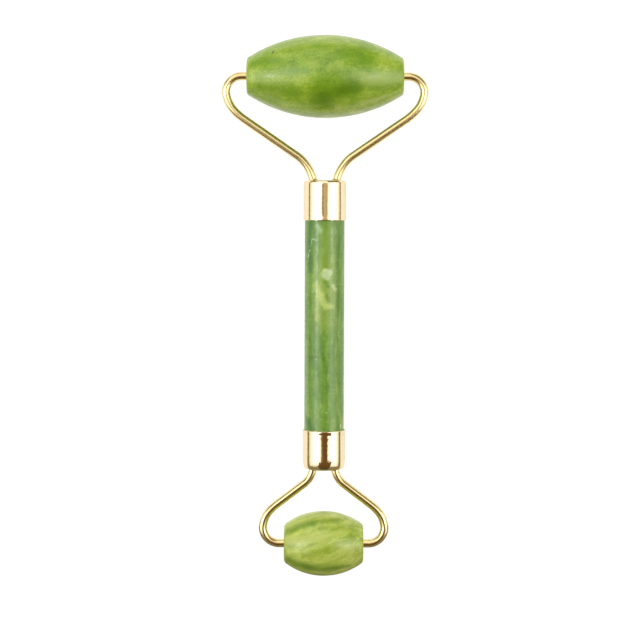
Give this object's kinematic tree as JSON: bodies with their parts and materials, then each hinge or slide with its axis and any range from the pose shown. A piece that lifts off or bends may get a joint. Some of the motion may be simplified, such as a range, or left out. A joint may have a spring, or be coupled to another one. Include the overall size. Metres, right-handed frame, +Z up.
{
  "type": "jade face roller",
  "caption": "Face massage roller: a round jade handle with a gold wire fork at each end, one holding a long jade barrel and the other a short one, both free to spin.",
  "frame": {"origin": "middle of the whole length, on the handle's axis, in the plane of both roller axles", "axes": "+Y along the handle towards the large roller, X along both roller axles, +Z up from the surface it lies on"},
  "size_m": [0.0552, 0.145, 0.022],
  "materials": {
    "handle_jade": "polished jade, deep green with long streaks and milky inclusions",
    "large_roller_jade": "polished jade, cloudy yellow-green with darker patches",
    "small_roller_jade": "polished jade, light yellow-green with slanting bands",
    "ferrule_gold": "polished pale gold plate on drawn brass",
    "wire_gold": "polished pale gold plate on wire",
    "bush_brass": "plain turned brass",
    "inner_brass": "plain brass, hidden inside the ferrules"
  },
  "bodies": {
    "handle": {"handle_stone": "handle_jade", "large_ferrule": "ferrule_gold", "small_ferrule": "ferrule_gold", "large_arm_left": "wire_gold", "large_arm_right": "wire_gold", "small_arm_left": "wire_gold", "small_arm_right": "wire_gold", "large_anchor_plug": "inner_brass", "small_anchor_plug": "inner_brass", "large_stud": "inner_brass", "small_stud": "inner_brass"},
    "large_roller": {"large_roller_stone": "large_roller_jade", "large_bush_left": "bush_brass", "large_bush_right": "bush_brass"},
    "small_roller": {"small_roller_stone": "small_roller_jade", "small_bush_left": "bush_brass", "small_bush_right": "bush_brass"}
  },
  "joints": [
    {"name": "large_roller_spin", "type": "hinge", "parent": "handle", "child": "large_roller", "pos_m": [0, 0.0615, 0], "axis": [1, 0, 0], "continuous": true},
    {"name": "small_roller_spin", "type": "hinge", "parent": "handle", "child": "small_roller", "pos_m": [0, -0.0638, 0], "axis": [1, 0, 0], "continuous": true}
  ]
}
